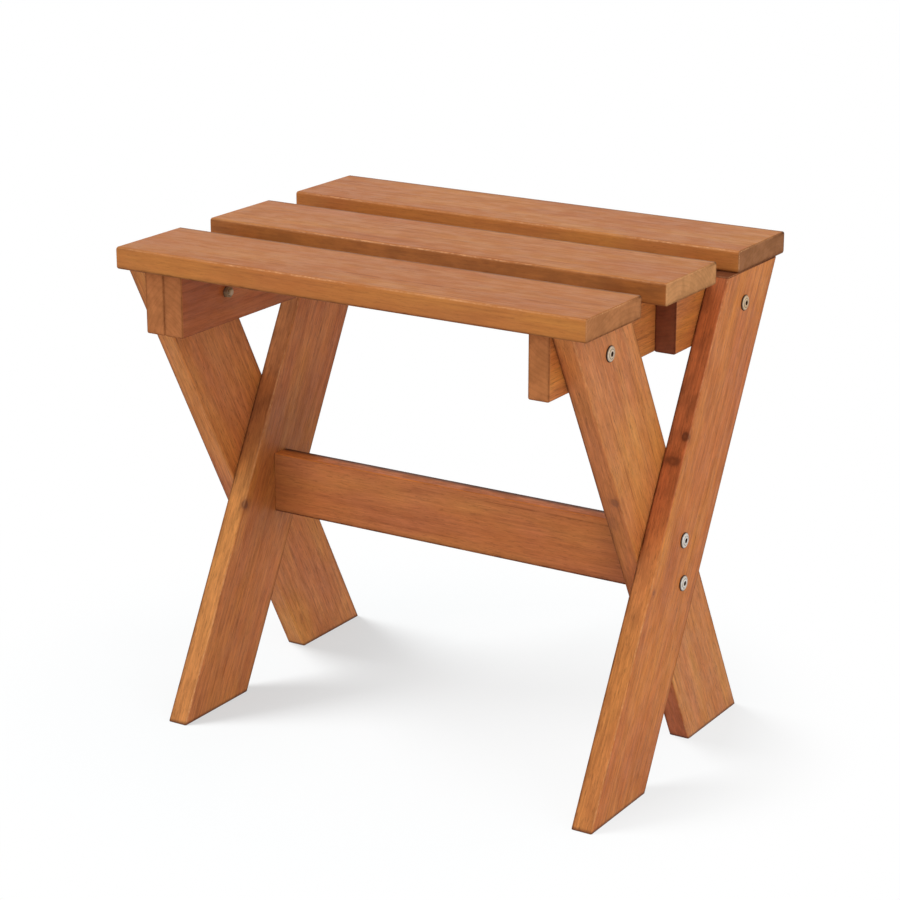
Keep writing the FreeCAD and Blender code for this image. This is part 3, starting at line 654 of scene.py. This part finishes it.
def plated_steel():
    """Bright zinc plating with turning marks about the Z axis, a warm bloom, and dirt and painted shade
    where they are given.
    """
    tree, given, result = start_group("Plated steel", {
        "Piece": VECTOR, "Grime": NUMBER, "Dullness": NUMBER, "Seed": NUMBER}, {
        "Colour": COLOUR, "Metal": NUMBER, "Roughness": NUMBER, "Height": NUMBER})
    turned = grain_of(tree, from_axis(tree, given["Piece"]), TURNING_MARKS, given["Seed"])
    bloom = cloud(tree, given["Piece"], BLOOM_LUMPS, given["Seed"], 3.0).outputs[0]
    bloom = fade(tree, bloom, 0.35, 0.68)
    spangle = cloud(tree, given["Piece"], SPANGLE_LUMPS, given["Seed"], 2.0).outputs[0]
    shade = tint(tree, bloom, BRIGHT_ZINC, WARM_ZINC)
    shade = brighten(tree, shade, fade(tree, turned, 0.3, 0.7, 0.92, 1.06))
    shade = brighten(tree, shade, fade(tree, spangle, 0.3, 0.7, 0.94, 1.05))
    dull = times(tree, given["Dullness"], fade(tree, bloom, 0.0, 1.0, 0.8, 1.0))
    shade = tint(tree, dull, shade, STAINED_ZINC)
    feed(tree, result["Colour"], tint(tree, given["Grime"], shade, GRIME_AND_SHADE))
    bare = add_up(tree, 1.0, [(dull, -0.6)])
    feed(tree, result["Metal"], times(tree, bare, fade(tree, given["Grime"], 0.0, 0.8, 1.0, 0.0)))
    feed(tree, result["Roughness"], add_up(tree, 0.30, [
        (bloom, 0.12), (spangle, 0.08), (dull, 0.20), (given["Grime"], 0.45)]))
    feed(tree, result["Height"], add_up(tree, spangle, [(turned, 0.5)]))
    return tree


BRIGHT_ZINC = colour(216, 214, 210)
WARM_ZINC = colour(197, 189, 174)
STAINED_ZINC = colour(194, 156, 104)
# Dark dirt. It is also used as painted shade under the bolt rims, in the sockets and over the nuts.
GRIME_AND_SHADE = colour(52, 26, 10)
PLATED = plated_steel()


def plate(piece, middle, turn, seed, dirt_and_shade, dullness):
    """Plate a piece of steel, dulled by the stain; dirt_and_shade gives where dirt and painted shade sit,
    from its own coordinates.
    """
    finish = bpy.data.materials.new("plated_" + piece.name)
    finish.use_nodes = True
    tree = finish.node_tree
    shader = tree.nodes["Principled BSDF"]
    place = tree.nodes.new("ShaderNodeTexCoord").outputs["Object"]
    own = put(tree, "Mapping", {"vector_type": "TEXTURE"}, Vector=place, Location=middle, Rotation=turn)
    steel = place_group(tree, PLATED, Piece=own, Grime=dirt_and_shade(tree, own), Dullness=dullness, Seed=seed)
    relief = put(tree, "Bump", Strength=0.2, Distance=PLATING_RELIEF, Height=steel["Height"])
    feed_all(tree, shader, Base_Color=steel["Colour"], Metallic=steel["Metal"],
             Roughness=steel["Roughness"], Normal=relief)
    piece.data.materials.clear()
    piece.data.materials.append(finish)


SHANK_DIRT_AND_SHADE = 0.24


def head_dust_and_shade(tree, own):
    """Painted shade against the rim and down in the socket, dust in the groove, and less of them on the
    shank.
    """
    height = axes_of(tree, own)["Z"]
    off_axis = from_axis(tree, own)
    # Painted shade under and beside the rim.
    rim = fade(tree, height, RIM_RISE - 0.0001, RIM_RISE + 0.0006, 1.0, 0.0)
    from_groove = reckon(tree, "ABSOLUTE", reckon(tree, "SUBTRACT", off_axis, GROOVE_REACH))
    groove = fade(tree, from_groove, GROOVE_WIDTH * 0.3, GROOVE_WIDTH * 0.75, 0.7, 0.0)
    # Painted shade down in the socket.
    socket = fade(tree, off_axis, SOCKET_LIP * 0.8, SOCKET_LIP, 1.0, 0.0)
    socket = times(tree, socket, reckon(tree, "GREATER_THAN", height, 0.0))
    dirt = reckon(tree, "MAXIMUM", reckon(tree, "MAXIMUM", rim, groove), socket)
    return times(tree, dirt, fade(tree, height, -0.001, -HEAD_EDGE, SHANK_DIRT_AND_SHADE, 1.0))


def seat(pattern, name, place, turn):
    """Copy a finished piece, carry the copy to its place and settle it there; gives the copy."""
    take_up([pattern])
    bpy.ops.object.duplicate()
    piece = bpy.context.object
    piece.name = name
    piece.location = place
    piece.rotation_euler = turn
    bpy.ops.object.transform_apply()
    return piece


def set_piece(piece, node):
    """The piece is part of the stand and stands for a node of the frame, whose own mesh is hidden."""
    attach(piece, "root")
    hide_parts(node)


def put_away(pattern):
    """Take a pattern off the bench once its copies are made."""
    bpy.data.objects.remove(pattern, do_unlink=True)


OUTWARD = {"right": 1, "left": -1}


def head_turn(side, key):
    """A bolt's head points out to its side of the stand, and its socket stands at any angle about it."""
    outward = Matrix.Rotation(OUTWARD[side] * pi / 2, 3, "Y")
    return (outward @ Matrix.Rotation(radians(key), 3, "Z")).to_euler()


def bolt_length(node):
    """How far a bolt reaches from the underside of its head."""
    low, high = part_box(node)
    return high.x - low.x - HEAD_RISE


def drive_bolt(pattern, name, side, node, height, key, seed, dullness):
    """Put a bolt in, at the depth where its node's head sits."""
    low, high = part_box(node)
    seat_x = high.x - HEAD_RISE if side == "right" else low.x + HEAD_RISE
    place = Vector((seat_x, (low.y + high.y) / 2, height))
    turn = head_turn(side, key)
    bolt = seat(pattern, name, place, turn)
    plate(bolt, place, turn, seed, head_dust_and_shade, dullness)
    set_piece(bolt, node)


for leg, first_key, dullness in (("outer", 8, 0.85), ("inner", 21, 0.6)):
    pattern = make_bolt("bolt_pattern", bolt_length(f"right_{leg}_leg_bolt"), NUT_THREAD)
    for side in OUTWARD:
        node = f"{side}_{leg}_leg_bolt"
        low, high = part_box(node)
        drive_bolt(pattern, f"domed_bolt_{side}_{leg}_leg", side, node, (low.z + high.z) / 2,
                   key=first_key + 13 * OUTWARD[side], seed=first_key + OUTWARD[side] * 0.7,
                   dullness=dullness)
    put_away(pattern)


# Leg nuts: plain plated hexagon nuts, chamfered on both faces, drawn up on the inner faces of the bearers.
# Each is a slice of hexagon bar, turned at its corners and tapped for the leg bolt.

NUT_FLATS, NUT_THICKNESS, NUT_BORE = 0.010, 0.005, 0.00302
NUT_FACE, NUT_CORNER, NUT_CHAMFER, BORE_EDGE = 0.00478, 0.00616, 0.0008, 0.0004
NUT_WELD, SPARE = 2e-6, 0.001
half_nut = NUT_THICKNESS / 2
blank = start_turning("nut_blank", [
    (NUT_BORE, -half_nut + BORE_EDGE), (NUT_BORE + BORE_EDGE, -half_nut), (NUT_FACE, -half_nut),
    (NUT_CORNER, -half_nut + NUT_CHAMFER), (NUT_CORNER, half_nut - NUT_CHAMFER), (NUT_FACE, half_nut),
    (NUT_BORE + BORE_EDGE, half_nut), (NUT_BORE, half_nut - BORE_EDGE)])
close_openings(joined=True)
nut_pattern = start_turning("nut_pattern", [
    (NUT_FLATS / sqrt(3), -half_nut - SPARE), (NUT_FLATS / sqrt(3), half_nut + SPARE)], corners=6)
close_openings(joined=False)


def trim(piece, tool, operation):
    """Cut a piece with another one, or keep only what both have in common."""
    take_up([piece])
    cut = piece.modifiers.new("cut", "BOOLEAN")
    cut.operation = operation
    cut.object = tool
    cut.solver = "EXACT"
    bpy.ops.object.modifier_apply(modifier=cut.name)


trim(nut_pattern, blank, "INTERSECT")
put_away(blank)
bpy.ops.object.mode_set(mode="EDIT")
bpy.ops.mesh.select_all(action="SELECT")
bpy.ops.mesh.remove_doubles(threshold=NUT_WELD)
bpy.ops.mesh.dissolve_degenerate(threshold=NUT_WELD)
bpy.ops.object.mode_set(mode="OBJECT")
join([nut_pattern])


def nut_dust_and_shade(tree, own):
    """Dust and painted shade round the bore, and painted shade over the whole nut, deepest against the wood.
    """
    bore = fade(tree, from_axis(tree, own), NUT_BORE, NUT_BORE + 0.0007, 0.8, 0.0)
    # Painted shade over the nut, deepest against the wood.
    against_wood = fade(tree, axes_of(tree, own)["Z"], half_nut * -0.2, half_nut, 0.60, 0.9)
    return reckon(tree, "MAXIMUM", bore, against_wood)


for side in OUTWARD:
    low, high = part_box(f"{side}_leg_nuts")
    for leg, key in (("outer", 12), ("inner", 47)):
        bolt_low, bolt_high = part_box(f"{side}_{leg}_leg_bolt")
        bolt_middle = (bolt_low + bolt_high) / 2
        place = Vector(((low.x + high.x) / 2, bolt_middle.y, bolt_middle.z))
        turn = head_turn(side, key)
        nut = seat(nut_pattern, f"hexagon_nut_{side}_{leg}_leg", place, turn)
        plate(nut, place, turn, seed=key * 0.3 + OUTWARD[side], dirt_and_shade=nut_dust_and_shade, dullness=1.0)
        set_piece(nut, f"{side}_leg_nuts")
put_away(nut_pattern)


# Stretcher: one board on edge between the two crossings, which keeps the end frames apart.
# Its ends butt against the inner legs, where painted shade darkens it. A dark line runs along its upper back
# arris, partly stain and partly painted shade.

ALONG_LENGTH_ON_EDGE = Euler((pi / 2, 0, 0))
WHOLE_LENGTH = 9
half_length, half_height, half_thickness = half_of("stretcher", "XZY")
stain_square("stretcher", ALONG_LENGTH_ON_EDGE, "XZY", seed=6.5,
             heart=(0, 0.015, -0.05), lean=(0, 0.03, 0.01), butted=0.01,
             # Painted shade where the ends meet the legs, and a dark line along the upper back arris, partly
             # stain and partly painted shade.
             dark=[*[((end, 0.02, 0), (0.06, 0.15, 0.15), 0.70) for end in (-half_length, half_length)],
                   ((0, half_height, -half_thickness), (WHOLE_LENGTH, 0.004, 0.012), 0.15)],
             Worn_side=(0, 0.5, 0.5), Rubbed=0.1, Gathered=1.0,
             Side_stain=0.85, Side_tone=colour(226, 134, 62),
             Grain_strength=0.26, Figure=0.7, Fibre=0.95,
             Honey=colour(194, 115, 61), Gold=colour(205, 132, 69), Blush=colour(190, 109, 74))


# Barrel nuts: turned steel pins with a tapped cross hole, set into blind holes from behind the stretcher.
# The slot in the face that shows sets the cross hole in line with its bolt.

BARREL_SLOT_WIDTH, BARREL_SLOT_DEPTH, BARREL_EDGE = 0.0014, 0.0016, 0.0006
low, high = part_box("right_barrel_nuts")
barrel_reach, barrel_half = (high.x - low.x) / 2, (high.y - low.y) / 2
barrel_pattern = start_turning("barrel_pattern", [
    (barrel_reach - BARREL_EDGE, -barrel_half), (barrel_reach, -barrel_half + BARREL_EDGE),
    (barrel_reach, barrel_half - BARREL_EDGE), (barrel_reach - BARREL_EDGE, barrel_half)])
close_openings(joined=False)
tap = start_turning("tap", [(NUT_BORE, -2 * barrel_reach), (NUT_BORE, 2 * barrel_reach)])
close_openings(joined=False)
tap.rotation_euler = (0, pi / 2, 0)
trim(barrel_pattern, tap, "DIFFERENCE")
put_away(tap)
take_up([])
bpy.ops.mesh.primitive_cube_add(size=1, location=(0, 0, barrel_half),
                                scale=(4 * barrel_reach, BARREL_SLOT_WIDTH, 2 * BARREL_SLOT_DEPTH))
saw = bpy.context.object
trim(barrel_pattern, saw, "DIFFERENCE")
put_away(saw)
join([barrel_pattern])


def barrel_grime(tree, own):
    """Dust in the slot and round the rim of the face that shows."""
    from_slot = reckon(tree, "ABSOLUTE", axes_of(tree, own)["Y"])
    in_slot = fade(tree, from_slot, BARREL_SLOT_WIDTH * 0.45, BARREL_SLOT_WIDTH * 0.8, 0.8, 0.0)
    rim = fade(tree, from_axis(tree, own), barrel_reach * 0.85, barrel_reach, 0.0, 0.6)
    return reckon(tree, "MAXIMUM", in_slot, rim)


FACING_BACK = Euler((-pi / 2, 0, 0))
for side in OUTWARD:
    low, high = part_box(f"{side}_barrel_nuts")
    for level, height in (("lower", low.z + barrel_reach), ("upper", high.z - barrel_reach)):
        place = Vector(((low.x + high.x) / 2, (low.y + high.y) / 2, height))
        barrel = seat(barrel_pattern, f"barrel_nut_{side}_{level}", place, FACING_BACK)
        plate(barrel, place, FACING_BACK, seed=height * 40 + OUTWARD[side],
              dirt_and_shade=barrel_grime, dullness=0.2)
        set_piece(barrel, f"{side}_barrel_nuts")
put_away(barrel_pattern)


# Crossing bolts: two more of the domed bolts at each crossing, longer, one above the other.
# They clamp the outer and the inner leg to the stretcher's end and pull on its barrel nuts.

BARREL_THREAD = 0.030
pattern = make_bolt("bolt_pattern", bolt_length("right_crossing_bolts"), BARREL_THREAD)
for side in OUTWARD:
    node = f"{side}_crossing_bolts"
    low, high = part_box(node)
    for level, height, key in (("lower", low.z + HEAD_REACH, 3), ("upper", high.z - HEAD_REACH, 34)):
        drive_bolt(pattern, f"domed_bolt_{side}_crossing_{level}", side, node, height,
                   key=key + 9 * OUTWARD[side], seed=key * 0.2 + OUTWARD[side] * 1.3, dullness=0.08)
put_away(pattern)


# Planks: three wide boards laid flat along the stand with open gaps, their long edges rounded over.
# Their tops have the stain's satin sheen, their end grain is duller, and their back arrises are darker,
# partly stain and partly painted shade.

ALONG_LENGTH = Euler((0, 0, 0))
half_width, half_thickness = half_of("front_plank", "YZ")
PLANK = {"dark": [((0, half_width, half_thickness), (WHOLE_LENGTH, 0.008, 0.004), 0.40)],
         "Worn_side": (0.4, -0.5, 0.5), "Honey": colour(186, 113, 52), "Gold": colour(198, 129, 60),
         "Blush": colour(181, 108, 58), "Grain_strength": 0.20, "Figure": 0.5, "Fibre": 0.55,
         "Round": 0.0021, "Seam": 0.003, "Rubbed": 0.85}
stain_square("front_plank", ALONG_LENGTH, "XYZ", seed=9.2, heart=(0, 0.01, -0.09), lean=(0, 0.05, 0.02),
             End_tone=colour(173, 112, 66), Gathered=0.78, **PLANK)
# Its long sides are darker, partly from stain and partly as painted shade, with its front facing the shaded
# gap behind the front plank.
stain_square("middle_plank", ALONG_LENGTH, "XYZ", seed=12.8, heart=(0, -0.02, -0.07), lean=(0, -0.04, 0.03),
             End_tone=colour(193, 136, 85), Gathered=0.6, Side_stain=0.7, Side_tone=colour(150, 88, 42),
             **PLANK)
stain_square("rear_plank", ALONG_LENGTH, "XYZ", seed=14.1, heart=(0, 0.02, -0.08), lean=(0, 0.03, -0.02),
             End_tone=colour(142, 92, 56), Gathered=0.78, **PLANK)


# Plank screws: pan-head wood screws, two through each bearer into each plank, driven from below.
# Their heads sit deep in counterbores, so the planks' tops show no fastener.

SCREW_HEAD_RISE = 0.003
SCREW_CORE, SCREW_CREST, SCREW_PITCH = 0.00155, 0.00225, 0.0022
SCREW_CROWN, SCREW_NECK, SCREW_PLAIN, SCREW_POINT = 0.0006, 0.0018, 0.013, 0.0045
SCREW_DOME = ((0.0020, 0.00008), (0.0010, 0.0004), (0.0004, 0.0010), (0.0001, 0.0018))
SCREW_SEAT_INSET, NECK_EDGE, CORE_INSET, SCREW_TIP = 0.0003, 0.0005, 0.0001, 0.0001
SCREW_THREAD_START, SCREW_THREAD_STOP = 0.0134, 0.004
CROSS_LENGTH, CROSS_WIDTH, CROSS_DEPTH = 0.005, 0.0012, 0.0018
low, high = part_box("right_front_plank_screws")
screw_reach = (high.x - low.x) / 2
screw_length = high.z - low.z - SCREW_HEAD_RISE
core_reach = SCREW_CORE - CORE_INSET
screw_pattern = start_turning("screw_pattern", [
    (SCREW_CROWN, SCREW_HEAD_RISE),
    *[(screw_reach - inward, SCREW_HEAD_RISE - down) for inward, down in SCREW_DOME],
    (screw_reach, HEAD_EDGE), (screw_reach - SCREW_SEAT_INSET, 0.0), (SCREW_NECK + HEAD_EDGE, 0.0),
    (SCREW_NECK, -NECK_EDGE), (SCREW_NECK, -SCREW_PLAIN), (core_reach, -SCREW_PLAIN - THREAD_RUN_OUT),
    (core_reach, -screw_length + SCREW_POINT), (SCREW_TIP, -screw_length)])
close_openings(joined=False)
for angle in (0, pi / 2):
    take_up([])
    bpy.ops.mesh.primitive_cube_add(size=1, location=(0, 0, SCREW_HEAD_RISE), rotation=(0, 0, angle),
                                    scale=(CROSS_LENGTH, CROSS_WIDTH, 2 * CROSS_DEPTH))
    driver = bpy.context.object
    trim(screw_pattern, driver, "DIFFERENCE")
    put_away(driver)
screw_thread = roll_thread("screw_thread", SCREW_CORE, SCREW_CREST, SCREW_PITCH,
                           -SCREW_THREAD_START, -screw_length + SCREW_THREAD_STOP)
join([screw_pattern, screw_thread])


def cross_grime(tree, own):
    """Dust in the cross recess."""
    return fade(tree, from_axis(tree, own), 0.0008, CROSS_LENGTH / 2, 0.6, 0.0)


HEAD_DOWN = Euler((pi, 0, 0))
for side in OUTWARD:
    for row in ("front", "middle", "rear"):
        node = f"{side}_{row}_plank_screws"
        low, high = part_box(node)
        for spot, depth in (("fore", low.y + screw_reach), ("aft", high.y - screw_reach)):
            place = Vector(((low.x + high.x) / 2, depth, low.z + SCREW_HEAD_RISE))
            screw = seat(screw_pattern, f"plank_screw_{side}_{row}_{spot}", place, HEAD_DOWN)
            plate(screw, place, HEAD_DOWN, seed=depth * 50 + OUTWARD[side],
                  dirt_and_shade=cross_grime, dullness=0.1)
            set_piece(screw, node)
put_away(screw_pattern)


# The studio: a plain pale floor, an even white surround and soft lamps, with the key from the left.
# The surround and floor look white or nearly so to the camera and in reflections, but light the stand less.
# One lamp lights the floor alone and only the legs block it; the floor turns pure white away from the stand.

def white_seen(tree, seen, otherwise):
    """One strength for what the camera and reflections see, another for the light given off."""
    path = tree.nodes.new("ShaderNodeLightPath").outputs
    shown = reckon(tree, "MAXIMUM", path["Is Camera Ray"], path["Is Glossy Ray"])
    shown = reckon(tree, "MAXIMUM", shown, path["Is Transmission Ray"])
    return add_up(tree, otherwise, [(shown, seen - otherwise)])


WHITE = (1, 1, 1, 1)
SURROUND, FLOOR_GLOW, FLOOR_RETURN = 0.415, 0.585, 0.265
surround = bpy.data.worlds.new("studio_surround")
surround.use_nodes = True
bpy.context.scene.world = surround
backdrop = surround.node_tree.nodes["Background"]
feed_all(surround.node_tree, backdrop, Color=WHITE,
         Strength=white_seen(surround.node_tree, 1.0, SURROUND))

FLOOR_SIZE = 30
FLOOR_GREY, FLOOR_LIGHT = (0.193, 0.20, 0.203, 1), (0.985, 0.99, 0.99, 1)
SHADOW_MIDDLE, SHADOW_NEAR, SHADOW_FAR = (-0.08, 0, 0), 0.2, 0.51
PALE_FROM, PALE_TO, PALE_SHARE = -0.2, 0.0, 0.5
take_up([])
bpy.ops.mesh.primitive_plane_add(size=FLOOR_SIZE)
floor = bpy.context.object
floor.name = "studio_floor"
floor_paint = bpy.data.materials.new("pale_floor")
floor_paint.use_nodes = True
floor_tree = floor_paint.node_tree
floor_shader = floor_tree.nodes["Principled BSDF"]
feed_all(floor_tree, floor_shader, Base_Color=FLOOR_GREY, Roughness=1.0, Specular_IOR_Level=0.0,
         Emission_Color=FLOOR_LIGHT, Emission_Strength=white_seen(floor_tree, FLOOR_GLOW, FLOOR_RETURN))
floor_place = floor_tree.nodes.new("ShaderNodeTexCoord").outputs["Object"]
from_stand = reckon_vector(floor_tree, "DISTANCE", floor_place, SHADOW_MIDDLE, output="Value")
to_right = fade(floor_tree, axes_of(floor_tree, floor_place)["X"], PALE_FROM, PALE_TO, 0.0, PALE_SHARE)
paler = reckon(floor_tree, "MAXIMUM", fade(floor_tree, from_stand, SHADOW_NEAR, SHADOW_FAR), to_right)
paler = times(floor_tree, white_seen(floor_tree, 1.0, 0.0), paler)
white_floor = put(floor_tree, "Emission", Color=WHITE, Strength=1.0)
floor_mix = floor_tree.nodes.new("ShaderNodeMixShader")
for socket, value in zip(floor_mix.inputs, (paler, floor_shader.outputs["BSDF"], white_floor)):
    feed(floor_tree, socket, value)
feed(floor_tree, floor_tree.nodes["Material Output"].inputs["Surface"], floor_mix.outputs[0])
floor.data.materials.append(floor_paint)


def direction(azimuth, elevation):
    """The way from the stand to a lamp or a camera; azimuth 0 is in front, and 90 to the right."""
    a, e = radians(azimuth), radians(elevation)
    return Vector((sin(a) * cos(e), -cos(a) * cos(e), sin(e)))


def add_lamp(name, azimuth, elevation, spread, strength):
    """A far lamp, as wide in the sky as its spread in degrees."""
    lamp = bpy.data.objects.new(name, bpy.data.lights.new(name, "SUN"))
    lamp.data.angle = radians(spread)
    lamp.data.energy = strength * pi
    lamp.rotation_euler = direction(azimuth, elevation).to_track_quat("Z", "Y").to_euler()
    bpy.context.scene.collection.objects.link(lamp)
    return lamp


add_lamp("key_left", azimuth=-70, elevation=49, spread=42, strength=0.32)
floor_lamp = add_lamp("floor_key", azimuth=-70, elevation=49, spread=26, strength=1.65)
floor_only, legs_only = bpy.data.collections.new("floor_only"), bpy.data.collections.new("legs_only")
floor_only.objects.link(floor)
for side in OUTWARD:
    for leg in ("outer", "inner"):
        legs_only.objects.link(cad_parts[f"{side}_{leg}_leg"])
floor_lamp.light_linking.receiver_collection = floor_only
floor_lamp.light_linking.blocker_collection = legs_only
add_lamp("fill_right", azimuth=90, elevation=18, spread=70, strength=0.40)
add_lamp("fill_front", azimuth=8, elevation=15, spread=70, strength=0.31)

AIM = Vector((-0.0037, -0.0023, 0.2842))
VIEW_AZIMUTH, VIEW_ELEVATION, VIEW_DISTANCE = 31.94, 17.71, 2.5833
SENSOR_WIDTH, FOCAL_LENGTH = 36, 103.46
camera = bpy.data.objects.new("camera", bpy.data.cameras.new("camera"))
camera.data.sensor_width = SENSOR_WIDTH
camera.data.lens = FOCAL_LENGTH
to_camera = direction(VIEW_AZIMUTH, VIEW_ELEVATION)
camera.location = AIM + to_camera * VIEW_DISTANCE
camera.rotation_euler = to_camera.to_track_quat("Z", "Y").to_euler()
bpy.context.scene.collection.objects.link(camera)
bpy.context.scene.camera = camera
bpy.context.scene.view_settings.view_transform = "Standard"
